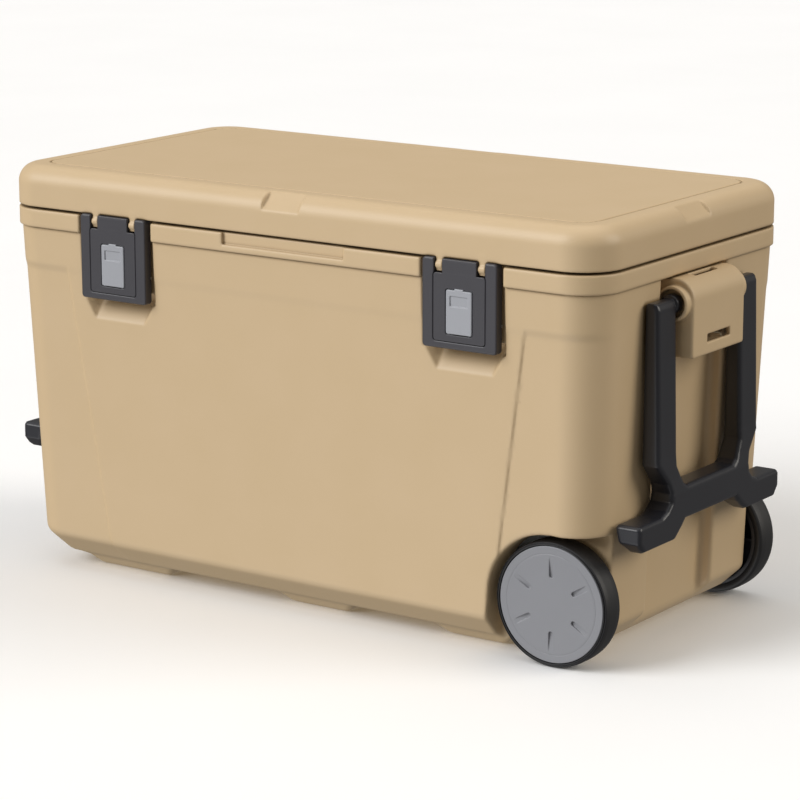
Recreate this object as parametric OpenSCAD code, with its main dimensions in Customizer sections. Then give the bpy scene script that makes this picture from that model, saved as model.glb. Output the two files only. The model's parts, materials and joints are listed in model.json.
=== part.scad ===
// Wheeled cooler chest: insulated box, hinged lid, two buckle latches, two bail handles.
// X runs along the length with the wheels at +X, the latches face -Y, Z is up.
// The origin is on the floor, in the middle of the chest.

/* [Body] */
// Length over the rim and the lid
length = 720; // [700:5:760]
// Width over the rim and the lid
width = 370; // [360:2:390]
// Height of the top face of the rim above the floor
rim_top = 384; // [380:1:390]
// Radius of the upright corners
corner_r = 44; // [40:1:48]
// Thickness of the outer shell
skin = 3.5; // [3:0.5:4]
// How far the outer walls lean in, in degrees
draft = 1.965; // [1.5:0.005:2]

/* [Lid] */
// Height of the top of the lid above the floor
lid_top = 429; // [426:1:436]
// Radius of the rounded edge round the top of the lid
lid_edge_r = 20; // [14:1:24]

/* [Latches and hinges] */
// Distance of a latch from the middle of the chest
latch_x = 210; // [200:1:220]
// Width of a latch
latch_w = 84; // [80:1:90]
// Gap of the seam between the rim and the lid
seam = 3.5; // [3:0.5:4]

/* [Handles] */
// Height of the handle pivots
pivot_z = 342; // [338:1:344]
// Half the distance between the outer faces of the two legs
leg_outer = 94; // [92:1:96]
// Half the length of the grip bar across the ears
ear_outer = 138; // [130:1:138]

/* [Wheels] */
// Outer radius of a tyre
wheel_r = 62; // [60:0.5:62]
// Distance of the axles from the middle of the chest
wheel_x = 301; // [298:1:302]

/* [Hidden] */
$fn = 64;

tan_plastic = "#CDB48F";
black_plastic = "#2C2C30";
charcoal = "#45444A";
gray_plastic = "#A4A5AA";
steel = "#B9BCC0";
liner_white = "#E4E4E0";
foam_yellow = "#EADFA8";
rubber = "#1E1E20";

// Heights and insets of the box
base_z = 13;                    // underside of the box, above the feet
chamfer_z = 37;                 // where the slanted lower edge meets the wall
chamfer_run = 24;               // how far that slanted edge runs in
rim_bottom = rim_top - 18;      // underside of the rim band
lap = 3;                        // step in from the rim band to the wall
draft_run = (rim_bottom - chamfer_z) * tan(draft);
cut = 0.01;                     // sliver that keeps cuts clean
far = 500;                      // past the outside of the chest

// Inside of the box
open_x = 302;                   // half length of the opening
open_y = 131;                   // half width of the opening
open_r = 30;                    // corner radius of the opening
tub_wall = 2.5;
tub_floor = 60;                 // top face of the tub's floor
tub_draft = 12;                 // how much the tub narrows on each side

// Wheels and wheel wells
well_y = 134;                   // inner wall of a wheel well
well_r = 68.5;
well_top = 130.5;
axle_r = 6;
tyre_in = 139;                  // inner face of a tyre
tyre_out = 166;                 // outer face of a tyre
tyre_bed = 53;                  // radius where the tyre sits on the wheel
cap_r = 57.2;
run_gap = 0.05;                 // running clearance of a pin or an axle

// Side channel and handle mount
channel_y = 63;                 // half width of the upright channel in each end
channel_deep = 13;
mount_y = 50;                   // half width of the handle mount
mount_x = length / 2 + 24;      // front face of the mount
mount_z = 289;                  // lower edge of the mount
mount_round = 20;               // radius over the top of the mount
pivot_x = length / 2 + 4.5;
pin_r = 5;

// Latches and lid knuckles
knuckle_y = width / 2 - 1.7;    // distance of the knuckle axis from the middle
knuckle_z = rim_top - 3.5;
barrel_r = 5;
tab_r = 4;
tab_x = 24;                     // place of a lid tab, from the middle of a latch
tab_w = 8.5;
latch_face = knuckle_y + barrel_r;
latch_t = 11;
latch_low = 301;                // lower edge of a latch
hinge_low = 330;                // lower edge of a hinge plate
pocket_y = width / 2 - 12;      // floor of a latch pocket
pocket_half = latch_w / 2 + 4.5;
hinge_floor = latch_face - latch_t;   // floor of a hinge plate's pocket
plate_half = 29.2;
claw_z = 328;
claw_y = latch_face - 9;
button_z = 337.1;
latch_pin_r = 2;
claw_pin_r = 1.5;
lid_base = rim_top + seam;

function side_x(z) = length / 2 - lap - (rim_bottom - z) * tan(draft);
function side_y(z) = width / 2 - lap - (rim_bottom - z) * tan(draft);

// A rounded rectangle with true arcs, centred on the origin
module round_rect(half_l, half_w, r) {
    union() {
        square([2 * (half_l - r), 2 * half_w], center = true);
        square([2 * half_l, 2 * (half_w - r)], center = true);
        for (sx = [-1, 1], sy = [-1, 1])
            translate([sx * (half_l - r), sy * (half_w - r)]) circle(r);
    }
}

// A thin slice of the chest's outline, inset on all sides
module slice(z, inset, r) {
    translate([0, 0, z]) linear_extrude(cut)
        round_rect(length / 2 - inset, width / 2 - inset, r, $fn = 32);
}

// The tapered box with its slanted lower edge, shrunk by t on all sides
module box_block(t, top) {
    hull() {
        slice(base_z + t, lap + draft_run + chamfer_run + 0.5 * t, corner_r - 24);
        slice(chamfer_z + 0.5 * t, lap + draft_run + t, corner_r - lap);
        slice(top - cut, lap + t, corner_r - lap);
    }
}

// Copies the children to both ends, or to both long sides
module both_ends() {
    children();
    mirror([1, 0, 0]) children();
}
module both_sides() {
    children();
    mirror([0, 1, 0]) children();
}

// A solid with the given outline in X and Z, between two Y values
module bar_y(y0, y1) {
    translate([0, y1, 0]) rotate([90, 0, 0]) linear_extrude(y1 - y0) children();
}

// A cylinder along Y from y0 to y1
module rod_y(x, z, r, y0, y1) {
    translate([x, y0, z]) rotate([-90, 0, 0]) cylinder(r = r, h = y1 - y0);
}

// A cylinder along X from x0 to x1
module rod_x(y, z, r, x0, x1) {
    translate([x0, y, z]) rotate([0, 90, 0]) cylinder(r = r, h = x1 - x0);
}

// The arch of a wheel well on the +Y side, grown by t
module well(t) {
    rod_y(wheel_x, wheel_r, well_r + t, well_y - t, far);
    translate([wheel_x, well_y - t, -t]) cube([far, far, well_top + 2 * t]);
    translate([wheel_x - well_r - t, well_y - t, -t - 10])
        cube([far, far, wheel_r + t + 10]);
}

// The upright channel in the +X end, grown by t; its floor leans with the wall
module channel(t) {
    translate([side_x(-20) - channel_deep - t, -channel_y - t, -20]) rotate([0, draft, 0])
        cube([80, 2 * (channel_y + t), far]);
}

// The pocket behind a latch on the -Y side, with its finger scoop, grown by t
module latch_pocket(t, low) {
    half = pocket_half + t;
    floor_y = pocket_y - t;
    scoop = 23;
    translate([-half, -far, low - 2 - t]) cube([2 * half, far - floor_y, far]);
    // finger scoop: narrows and runs out to the wall below the latch
    intersection() {
        translate([0, -floor_y, 0]) rotate([90, 0, 0]) linear_extrude(far)
            polygon([[-half, low], [half, low], [half - 14, low - scoop - t], [14 - half, low - scoop - t]]);
        translate([-half, 0, 0]) rotate([90, 0, 90]) linear_extrude(2 * half)
            polygon([[-floor_y, low], [-floor_y - 6.3, low - scoop - t], [-far, low - scoop - t], [-far, low]]);
    }
}

// The pocket behind a hinge plate on the +Y side, grown by t
module hinge_pocket(t) {
    half = pocket_half + t;
    translate([-half, hinge_floor - t, hinge_low - 3 - t]) cube([2 * half, far, far]);
}

// All hollows pressed into the outer walls, grown by t so that the skin can follow them
module recesses(t) {
    both_sides() well(t);
    both_ends() channel(t);
    for (s = [-1, 1]) translate([s * latch_x, 0, 0]) {
        latch_pocket(t, latch_low);
        hinge_pocket(t);
    }
}

// Runners under the box: slanted at their ends and set back from the walls
module feet() {
    foot_y = 142;
    foot_in = 14;
    for (run = [[-284, -192], [-32, 38], [160, 226]])
        intersection() {
            bar_y(-foot_y, foot_y)
                polygon([[run[0] - foot_in, base_z + 2], [run[0], 0], [run[1], 0], [run[1] + foot_in, base_z + 2]]);
            translate([-far, 0, 0]) rotate([90, 0, 90]) linear_extrude(2 * far)
                polygon([[-foot_y, base_z + 2], [-foot_y + foot_in, 0], [foot_y - foot_in, 0], [foot_y, base_z + 2]]);
        }
}

// Bosses that hold the axle pins, inside the wheel wells' inner walls
boss_in = 104;
module axle_bosses(r) {
    both_sides() rod_y(wheel_x, wheel_r, r, boss_in, well_y);
}

// The drain: a short tube through the -X wall, low down
drain_z = 78;
drain_r = 11;
drain_wall = 2.5;
drain_face = side_x(drain_z) - channel_deep;
module drain_tube(r, x0, x1) {
    rod_x(0, drain_z, r, x0, x1);
}

// Outer box with its wells, channels, pockets and runners
module body_shell() color(tan_plastic) difference() {
    union() {
        difference() {
            box_block(0, rim_bottom);
            difference() {
                box_block(skin, rim_bottom + 1);
                recesses(skin);
            }
        }
        feet();
        axle_bosses(13);
    }
    recesses(0);
    both_sides() rod_y(wheel_x, wheel_r, axle_r, boss_in + 4, far);
    mirror([1, 0, 0]) {
        drain_tube(drain_r + drain_wall, drain_face - 20, drain_face + 20);
        drain_tube(20, drain_face - 0.6, far);
    }
    screw_holes();
}

// Band round the top of the box; it closes the foam and frames the opening
module rim_frame() color(tan_plastic) difference() {
    translate([0, 0, rim_bottom]) linear_extrude(rim_top - rim_bottom)
        round_rect(length / 2, width / 2, corner_r);
    difference() {
        translate([0, 0, rim_bottom - cut]) linear_extrude(rim_top - rim_bottom - 4)
            difference() {
                round_rect(length / 2 - 5, width / 2 - 5, corner_r - 5);
                round_rect(open_x + 3, open_y + 3, open_r + 3);
            }
        rim_pockets(skin);
    }
    translate([0, 0, rim_bottom - 1]) linear_extrude(40) round_rect(open_x, open_y, open_r);
    rim_pockets(0);
    // long finger groove between the latches, open towards the front
    translate([-73, -far, rim_top - 11]) cube([146, far - width / 2 + 2.2, 20]);
}

// Notches in the rim at the latches and the hinge plates, grown by t
module rim_pockets(t) {
    half = pocket_half + t;
    for (s = [-1, 1]) translate([s * latch_x - half, 0, rim_bottom - 1]) {
        mirror([0, 1, 0]) translate([0, pocket_y - t, 0]) cube([2 * half, far, 40]);
        translate([0, hinge_floor - t, 0]) cube([2 * half, far, 40]);
    }
}

// One tub outline, with its two raised corners over the wheel wells; t shrinks it
module tub_block(t, top) difference() {
    hull() {
        translate([0, 0, tub_floor - tub_wall + t]) linear_extrude(cut)
            round_rect(open_x + tub_wall - t - tub_draft, open_y + tub_wall - t - tub_draft, open_r - t, $fn = 32);
        translate([0, 0, top - cut]) linear_extrude(cut)
            round_rect(open_x + tub_wall - t, open_y + tub_wall - t, open_r - t, $fn = 32);
    }
    both_sides() translate([203 - t, 98 - t, 0]) cube([far, far, 154 + t]);
}

// White tub that holds the load
module inner_liner() color(liner_white) difference() {
    tub_block(0, rim_bottom);
    tub_block(tub_wall, rim_bottom + 1);
    mirror([1, 0, 0]) drain_tube(drain_r, 200, far);
}

// Foam between the tub and the outer box
module foam_core() color(foam_yellow) difference() {
    box_block(skin, rim_bottom + 1);
    recesses(skin);
    tub_block(0, rim_bottom);
    axle_bosses(13);
    mirror([1, 0, 0]) drain_tube(drain_r + drain_wall, 200, far);
    translate([-far, -far, rim_bottom - 0.5]) cube([2 * far, 2 * far, 10]);
    screw_clearance();
}

// Places of the screws that hold the handle mounts, the hinge plates and the strikes
screw_r = 2;
mount_screw_y = 42;
mount_screw_z = [298, 317];
hinge_screw_z = 346;
strike_z = 321;
module on_mount_screws() {
    both_ends() both_sides() for (z = mount_screw_z) translate([0, mount_screw_y, z]) children();
}
module on_hinge_screws() {
    for (s = [-1, 1], t = [-1, 1]) translate([s * latch_x + t * 28, 0, hinge_screw_z]) children();
}
module on_strike_screws() {
    for (s = [-1, 1], t = [-1, 1]) translate([s * latch_x + t * 16, 0, strike_z]) children();
}
module screw_holes() {
    on_mount_screws() rod_x(0, 0, screw_r, side_x(0) - 60, far);
    on_hinge_screws() rod_y(0, 0, screw_r, hinge_floor - 20, far);
    on_strike_screws() rod_y(0, 0, screw_r, -far, -pocket_y + 20);
}
module screw_clearance() {
    on_mount_screws() rod_x(0, 0, screw_r + 1, side_x(0) - 60, far);
    on_hinge_screws() rod_y(0, 0, screw_r + 1, hinge_floor - 24, far);
    on_strike_screws() rod_y(0, 0, screw_r + 1, -far, -pocket_y + 24);
}

// Floor of the channel where a mount is screwed down
channel_floor = side_x(rim_bottom) - channel_deep;
post_h = 20;                    // height of the posts round the mount screws

// Outline of a handle mount in X and Z, grown inwards by t, with a rounded top
module mount_outline(t) {
    x0 = channel_floor + 0.2;
    x1 = mount_x - t;
    z1 = rim_bottom - 1 - t;
    union() {
        translate([x0 + t, mount_z + t - (t > 0 ? 20 : 0)])
            square([x1 - x0 - t, z1 - mount_round - mount_z - t + (t > 0 ? 20 : 0)]);
        translate([x0 + t, z1 - mount_round - 1]) square([x1 - x0 - t - mount_round, mount_round + 1]);
        translate([x1 - mount_round, z1 - mount_round]) circle(mount_round);
    }
}

// Handle mount for the +X end: a hollow block with two strap slots and two pivot collars
module handle_mount() color(tan_plastic) difference() {
    union() {
        difference() {
            bar_y(-mount_y, mount_y) mount_outline(0);
            bar_y(-mount_y + 4, mount_y - 4) mount_outline(3.5);
        }
        // posts round the screws
        both_sides() for (z = mount_screw_z)
            rod_x(mount_screw_y, z, 4.5, channel_floor + 0.2, channel_floor + post_h);
        both_sides() rod_y(pivot_x, pivot_z, 17, mount_y - 14, mount_y + 5);
    }
    // recess inside each pivot collar, then the bore of its pin
    both_sides() rod_y(pivot_x, pivot_z, 14.5, mount_y + 1.5, far);
    both_sides() rod_y(pivot_x, pivot_z, pin_r, mount_y - 30, far);
    both_sides() for (z = mount_screw_z) rod_x(mount_screw_y, z, screw_r, 0, channel_floor + post_h + 4);
    // strap slots: one in the front face, one through the top beside the wall
    translate([mount_x - 10, -22, mount_z + 12]) cube([20, 44, 8]);
    translate([length / 2 - 9.5, -32, rim_bottom - 12]) cube([9, 64, 24]);
    // room for the rim band above
    translate([0, -far, rim_bottom - 0.4]) cube([far, 2 * far, far]);
}

// Screws with round heads: each is one solid, its head towards +X
module pan_screw(head, shaft) {
    rotate([0, 90, 0]) union() {
        cylinder(r = screw_r, h = shaft);
        translate([0, 0, shaft]) cylinder(r = head, h = 2.2);
    }
}
module mount_screws() color(steel)
    both_ends() both_sides() for (z = mount_screw_z)
        translate([channel_floor - 10, mount_screw_y, z]) pan_screw(4, post_h + 10);

// Outline of a handle in Y and Z, on its +Y half, from the pivot down
leg_inner = 62;
bar_low = 133;
bar_high = 166;
ear_low = 114;
ear_high = 143;
module leg_outline() {
    polygon([[leg_inner, pivot_z], [leg_inner, 186], [52, 170], [50, bar_high - 4], [50, bar_low],
        [56, bar_low - 6], [72, ear_low + 1], [94, ear_low + 1], [94, ear_high],
        [84, ear_high + 4], [77, ear_high + 11], [76, 162], [80, 172], [leg_outer, 190], [leg_outer, pivot_z]]);
}

// Side view of a leg in X and Z: thin at the pivot, deeper and further out below
module leg_side() {
    polygon([[pivot_x - 6.5, pivot_z], [pivot_x + 6.5, pivot_z], [pivot_x + 10, 200], [pivot_x + 13, 176],
        [pivot_x + 16.5, bar_high - 6], [pivot_x + 16.5, ear_low + 4], [pivot_x + 12, ear_low],
        [pivot_x, ear_low], [pivot_x - 8, ear_low + 10], [pivot_x - 11.5, ear_high - 4],
        [pivot_x - 9, bar_high], [pivot_x - 7.5, 200]]);
}

// Bail handle for the +X end: two legs, a cross bar and an ear on each side
module handle() color(black_plastic) difference() {
    union() {
        intersection() {
            both_sides() rotate([90, 0, 90]) linear_extrude(far) leg_outline();
            bar_y(-far, far) leg_side();
        }
        intersection() {
            translate([0, -51, bar_low]) cube([far, 102, bar_high - bar_low]);
            bar_y(-far, far) leg_side();
        }
        both_sides() intersection() {
            translate([0, 93, ear_low]) cube([far, ear_outer - 93, ear_high - ear_low]);
            bar_y(-far, far) leg_side();
        }
        both_sides() rod_y(pivot_x, pivot_z, 7.5, leg_inner, leg_outer);
        both_sides() rod_y(pivot_x, pivot_z, 12.5, mount_y + 2.2, leg_inner + 1);
    }
    both_sides() rod_y(pivot_x, pivot_z, pin_r + run_gap, 0, leg_outer - 8);
}

// Pivot pins of one handle, fast in the mount and free in the legs
module handle_pins() color(steel) {
    both_sides() rod_y(pivot_x, pivot_z, pin_r, mount_y - 14, leg_outer - 8.5);
}

// Wheels on the +Y side; the -Y side mirrors them
module on_side(side) {
    if (side > 0) children();
    else mirror([0, 1, 0]) children();
}

hub_in = tyre_in - 2.7;
hub_out = 158.2;
module wheel_core() color(black_plastic) {
    web = 3.5;
    difference() {
        union() {
            rod_y(wheel_x, wheel_r, 13, hub_in, hub_out);
            difference() {
                rod_y(wheel_x, wheel_r, tyre_bed, tyre_in + 1.5, tyre_out - 3.2);
                rod_y(wheel_x, wheel_r, tyre_bed - 3.5, tyre_in, hub_out - web);
                rod_y(wheel_x, wheel_r, tyre_bed - 3.5, hub_out, far);
            }
            // ribs on the inner side
            intersection() {
                rod_y(wheel_x, wheel_r, tyre_bed - 1, tyre_in + 4, hub_out - 1);
                for (k = [0:7]) translate([wheel_x, 0, wheel_r]) rotate([0, k * 45, 0])
                    translate([11, tyre_in + 4, -1.3]) cube([tyre_bed, 30, 2.6]);
            }
        }
        rod_y(wheel_x, wheel_r, axle_r + run_gap, 0, far);
    }
}

// Rubber tyre: a tube with a bevel on each shoulder and a small lip over the cap
module tyre() color(rubber) translate([wheel_x, 0, wheel_r]) rotate([-90, 0, 0]) rotate_extrude()
    polygon([[tyre_bed, tyre_in + 1.5], [tyre_bed + 4, tyre_in], [wheel_r - 3, tyre_in], [wheel_r - 0.8, tyre_in + 3],
        [wheel_r, (tyre_in + tyre_out) / 2], [wheel_r - 0.8, tyre_out - 4], [wheel_r - 3, tyre_out],
        [cap_r + 0.6, tyre_out], [cap_r + 0.6, tyre_out - 3.2], [tyre_bed, tyre_out - 3.2]]);

// Grey disc over the outer side, with six slots round its rim
module wheel_cap() color(gray_plastic) difference() {
    union() {
        rod_y(wheel_x, wheel_r, cap_r, tyre_out - 3, tyre_out - 0.3);
        difference() {
            rod_y(wheel_x, wheel_r, tyre_bed - 3.7, hub_out + 0.5, tyre_out - 2.9);
            rod_y(wheel_x, wheel_r, tyre_bed - 6, 0, far);
        }
    }
    for (k = [0:5]) translate([wheel_x, 0, wheel_r]) rotate([0, 30 + k * 60, 0])
        translate([25, tyre_out - 1.6, -1.4]) cube([21, 5, 2.8]);
}

// Steel pins that the wheels turn on, their washers and their push-on clips
module axles() color(steel) both_sides() rod_y(wheel_x, wheel_r, axle_r, boss_in + 4, hub_out + 3.2);
module axle_washers() color(steel) both_sides() difference() {
    rod_y(wheel_x, wheel_r, 11, well_y, hub_in - 0.3);
    rod_y(wheel_x, wheel_r, axle_r, 0, far);
}
module axle_clips() color(steel) both_sides() difference() {
    rod_y(wheel_x, wheel_r, 10, hub_out + 0.3, hub_out + 1.8);
    rod_y(wheel_x, wheel_r, axle_r, 0, far);
}

// Lid block with its rounded top edge in three flats, shrunk by t
edge_turns = [0, 30, 60];
module lid_block(t, base) {
    r = lid_edge_r - t;
    spring_z = lid_top - lid_edge_r;
    hull() for (sx = [-1, 1], sy = [-1, 1])
        translate([sx * (length / 2 - corner_r), sy * (width / 2 - corner_r), 0]) {
            translate([0, 0, base]) cylinder(r = corner_r - t, h = spring_z - base, $fn = 32);
            for (a = edge_turns) translate([0, 0, spring_z + r * sin(a)])
                cylinder(r1 = corner_r - t - r * (1 - cos(a)), r2 = corner_r - t - r * (1 - cos(a + 30)),
                    h = r * (sin(a + 30) - sin(a)), $fn = 32);
        }
}

// Knuckle tabs of the lid, two at each latch and two at each hinge plate
module lid_tabs() {
    for (s = [-1, 1], t = [-1, 1]) both_sides()
        translate([s * latch_x + t * tab_x - tab_w / 2, 0, 0]) {
            rod_x(knuckle_y, knuckle_z, tab_r, 0, tab_w);
            translate([0, knuckle_y - tab_r, knuckle_z]) cube([tab_w, width / 2 - knuckle_y + tab_r, 14]);
        }
}

// Outer cover of the lid
scoop_w = 48;                   // width of the flats cut across the lid's top edge
scoop_drop = 15;                // how far down the side a flat starts
module lid_shell() color(tan_plastic) difference() {
    union() {
        difference() {
            lid_block(0, lid_base);
            lid_block(skin, lid_base - 1);
        }
        lid_tabs();
    }
    for (s = [-1, 1]) both_sides()
        rod_x(knuckle_y, knuckle_z, latch_pin_r + run_gap, s * latch_x - 50, s * latch_x + 50);
    // shallow scoops in the top edge: one on each long side, one on each end
    both_sides() translate([0, width / 2, lid_top - scoop_drop]) rotate([45, 0, 0]) translate([0, 50, 0])
        cube([scoop_w, 100, 100], center = true);
    both_ends() translate([length / 2, 0, lid_top - scoop_drop]) rotate([0, -45, 0]) translate([50, 0, 0])
        cube([100, scoop_w, 100], center = true);
}

// Inner panel of the lid: a flat plate that laps the rim and a plug that drops into the opening
plug_gap = 4;
plug_deep = 16;
module lid_liner() color(liner_white) difference() {
    union() {
        translate([0, 0, lid_base + 0.4]) linear_extrude(2.6)
            round_rect(length / 2 - skin - 0.3, width / 2 - skin - 0.3, corner_r - skin);
        translate([0, 0, lid_base - plug_deep]) linear_extrude(plug_deep + 1)
            round_rect(open_x - plug_gap, open_y - plug_gap, open_r - plug_gap);
    }
    translate([0, 0, lid_base - plug_deep + 2.6]) linear_extrude(40)
        round_rect(open_x - plug_gap - 2.6, open_y - plug_gap - 2.6, open_r - plug_gap - 2.6);
    for (s = [-1, 1]) both_sides() translate([s * latch_x, knuckle_y, lid_base])
        cube([2 * tab_x + tab_w + 2, 2 * tab_r + 3, 20], center = true);
}

// Foam inside the lid
module lid_foam() color(foam_yellow) difference() {
    union() {
        lid_block(skin, lid_base + 3);
        translate([0, 0, lid_base - plug_deep + 2.6]) linear_extrude(plug_deep + 10)
            round_rect(open_x - plug_gap - 2.6, open_y - plug_gap - 2.6, open_r - plug_gap - 2.6);
    }
    for (s = [-1, 1]) both_sides() translate([s * latch_x, knuckle_y, lid_base + 6])
        cube([2 * tab_x + tab_w + 2, 2 * tab_r + 3, 14], center = true);
}

// Rubber seal under the lid, just clear of the rim
module lid_gasket() color(rubber) translate([0, 0, rim_top + 0.35]) linear_extrude(seam + 0.05)
    difference() {
        round_rect(open_x + 14, open_y + 14, open_r + 14);
        round_rect(open_x + 5, open_y + 5, open_r + 5);
    }

// Plate of a latch or a hinge, on the -Y side: flat front, knuckles at the top
module knuckle_plate(low) {
    translate([-latch_w / 2, -latch_face, low]) cube([latch_w, latch_t, knuckle_z - low]);
    rod_x(-knuckle_y, knuckle_z, barrel_r, -latch_w / 2, latch_w / 2);
}
module tab_slots() {
    for (t = [-1, 1]) translate([t * tab_x - tab_w / 2 - 0.5, -latch_face - 1, knuckle_z - 6])
        cube([tab_w + 1, latch_t + 2, 20]);
}

// Outer lever of a latch
module latch_frame() color(charcoal) difference() {
    knuckle_plate(latch_low);
    // bed of the front plate, then the room behind it
    translate([-plate_half - 0.3, -latch_face - 1, 308]) cube([2 * plate_half + 0.6, 4, 100]);
    translate([-26, -latch_face - 1, 312]) cube([52, 10.5, 61]);
    translate([-12, -latch_face, 306]) cube([24, 20, 42]);
    translate([-plate_half - 0.3, -latch_face - 1, knuckle_z - 7.2]) cube([2 * plate_half + 0.6, 20, 40]);
    rod_x(-knuckle_y, knuckle_z, latch_pin_r, -latch_w / 2 + 2, latch_w / 2 - 2);
    rod_x(-claw_y, claw_z, claw_pin_r, -latch_w / 2 + 2, latch_w);
}

// Front plate of a latch, with the window of the lock button
module latch_plate() color(charcoal) difference() {
    union() {
        translate([-plate_half, -latch_face, 308.3]) cube([2 * plate_half, 2.3, knuckle_z - 6 - 308.3]);
        translate([-19.2, -latch_face, knuckle_z - 7]) cube([38.4, 5.5, 7]);
        rod_x(-knuckle_y, knuckle_z, barrel_r, -19.2, 19.2);
    }
    translate([-14.8, -latch_face - 1, button_z - 21.4]) cube([29.6, 10, 42.8]);
    rod_x(-knuckle_y, knuckle_z, latch_pin_r, -30, 30);
}

// Lock button: a cap that shows in the window, a flange behind it and a pusher
module lock_button() color(gray_plastic) difference() {
    union() {
        translate([-14.5, -latch_face - 0.5, button_z - 21.1]) cube([29, 4.1, 42.2]);
        translate([-16, -latch_face + 2.4, button_z - 22.7]) cube([32, 1.2, 45.4]);
        translate([-6, -latch_face + 2.4, claw_z + 11]) cube([12, 3.6, 4]);
    }
    // thumb recess in the upper third, and room behind for the claw as it turns
    translate([-9.5, -latch_face - 1, button_z + 6]) cube([19, 1.9, 9.5]);
    translate([-8.7, -latch_face + 1, button_z - 30]) cube([17.4, 10, claw_z + 2.5 - button_z + 30]);
}

// Coil spring behind the button, as stacked rings joined by a thin wall
module button_spring() color(steel) translate([0, -latch_face + 3.8, 352]) rotate([-90, 0, 0]) union() {
    for (k = [0:3]) translate([0, 0, k * 1.6]) difference() {
        cylinder(r = 3.6, h = 0.8);
        translate([0, 0, -1]) cylinder(r = 2.8, h = 3);
    }
    difference() {
        cylinder(r = 3.4, h = 5.6);
        translate([0, 0, -1]) cylinder(r = 3, h = 7);
    }
}

// Claw on its cross pin: the button pushes its upper arm, its nose then leaves the strike
module latch_claw() color(steel) difference() {
    union() {
        rod_x(-claw_y, claw_z, 2.6, -8, 8);
        translate([-6, -claw_y - 2.6, claw_z]) cube([12, 2, 15]);
        translate([-6, -claw_y - 2.6, claw_z]) cube([12, 2.6, 2.6]);
        translate([-8, 0, 0]) rotate([90, 0, 90]) linear_extrude(16)
            polygon([[-claw_y - 2.5, claw_z], [-claw_y + 2.4, claw_z], [-claw_y, claw_z - 6],
                [-claw_y + 2.6, claw_z - 9], [-claw_y + 2.6, claw_z - 13], [-claw_y - 2, claw_z - 13]]);
    }
    rod_x(-claw_y, claw_z, claw_pin_r + run_gap, -20, 20);
}

// Strikes: small angle plates screwed into the latch pockets
module latch_strikes() color(steel) for (s = [-1, 1]) translate([s * latch_x, 0, 0]) difference() {
    union() {
        translate([-22, -pocket_y - 1.5, strike_z - 4]) cube([44, 1.5, 8]);
        translate([-9, -pocket_y - 3.2, strike_z - 2]) cube([18, 3, 6]);
    }
    for (t = [-1, 1]) translate([t * 16, 0, strike_z]) rod_y(0, 0, screw_r, -far, far);
}
module strike_screws() color(steel) on_strike_screws() translate([0, -pocket_y + 12, 0]) rotate([0, 0, -90])
    pan_screw(3.2, 13.5);

// Hinge plates on the back of the box, their long pins and their screws
module hinge_plates() color(charcoal) for (s = [-1, 1]) translate([s * latch_x, 0, 0]) mirror([0, 1, 0]) difference() {
    knuckle_plate(hinge_low);
    tab_slots();
    rod_x(-knuckle_y, knuckle_z, latch_pin_r, -latch_w / 2 + 2, latch_w / 2 - 2);
    for (t = [-1, 1]) translate([t * 28, 0, hinge_screw_z]) {
        rod_y(0, 0, screw_r, -far, 0);
        rod_y(0, 0, 4.4, -far, -latch_face + 3);
    }
}
module hinge_pins() color(steel) for (s = [-1, 1]) translate([s * latch_x, 0, 0])
    rod_x(knuckle_y, knuckle_z, latch_pin_r, -latch_w / 2 + 2, latch_w / 2 - 2);
module hinge_screws() color(steel) on_hinge_screws() translate([0, hinge_floor - 10, 0]) rotate([0, 0, 90])
    pan_screw(4, latch_t + 7);

// Drain: a tube through the wall, a quarter-turn plug with a grip bar, and its seal ring
module drain_bushing() color(black_plastic) mirror([1, 0, 0]) difference() {
    drain_tube(drain_r + drain_wall, open_x - 8, drain_face - 0.6);
    drain_tube(drain_r, 0, far);
}
module drain_plug() color(black_plastic) mirror([1, 0, 0]) union() {
    drain_tube(drain_r - run_gap, open_x - 6, drain_face + 2);
    drain_tube(17, drain_face + 1.4, drain_face + 5);
    translate([drain_face + 4, -14, drain_z - 3]) cube([5.5, 28, 6]);
}
module drain_seal() color(rubber) mirror([1, 0, 0]) difference() {
    drain_tube(16, drain_face - 0.6, drain_face + 1.1);
    drain_tube(drain_r + 0.6, 0, far);
}

// Pins: the long one through the knuckles of a latch, and the cross pin of its claw
module latch_pin() color(steel) rod_x(-knuckle_y, knuckle_z, latch_pin_r, -latch_w / 2 + 2, latch_w / 2 - 2);
module claw_pin() color(steel) rod_x(-claw_y, claw_z, claw_pin_r, -latch_w / 2 + 2, latch_w / 2 + 0.6);

module at_latch(s) translate([s * latch_x, 0, 0]) children();

body_shell();
rim_frame();
inner_liner();
foam_core();
handle_mount();  // handle_mount_right
mirror([1, 0, 0]) handle_mount();  // handle_mount_left
mount_screws();
handle();  // handle_right
mirror([1, 0, 0]) handle();  // handle_left
handle_pins();  // handle_pins_right
mirror([1, 0, 0]) handle_pins();  // handle_pins_left
axles();
axle_washers();
axle_clips();
on_side(-1) wheel_core();  // wheel_core_front
on_side(1) wheel_core();  // wheel_core_rear
on_side(-1) tyre();  // tyre_front
on_side(1) tyre();  // tyre_rear
on_side(-1) wheel_cap();  // wheel_cap_front
on_side(1) wheel_cap();  // wheel_cap_rear
lid_shell();
lid_foam();
lid_liner();
lid_gasket();
hinge_plates();
hinge_pins();
hinge_screws();
at_latch(-1) latch_frame();  // latch_frame_left
at_latch(1) latch_frame();  // latch_frame_right
at_latch(-1) latch_plate();  // latch_plate_left
at_latch(1) latch_plate();  // latch_plate_right
at_latch(-1) latch_pin();  // latch_pin_left
at_latch(1) latch_pin();  // latch_pin_right
at_latch(-1) lock_button();  // lock_button_left
at_latch(1) lock_button();  // lock_button_right
at_latch(-1) button_spring();  // button_spring_left
at_latch(1) button_spring();  // button_spring_right
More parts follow.
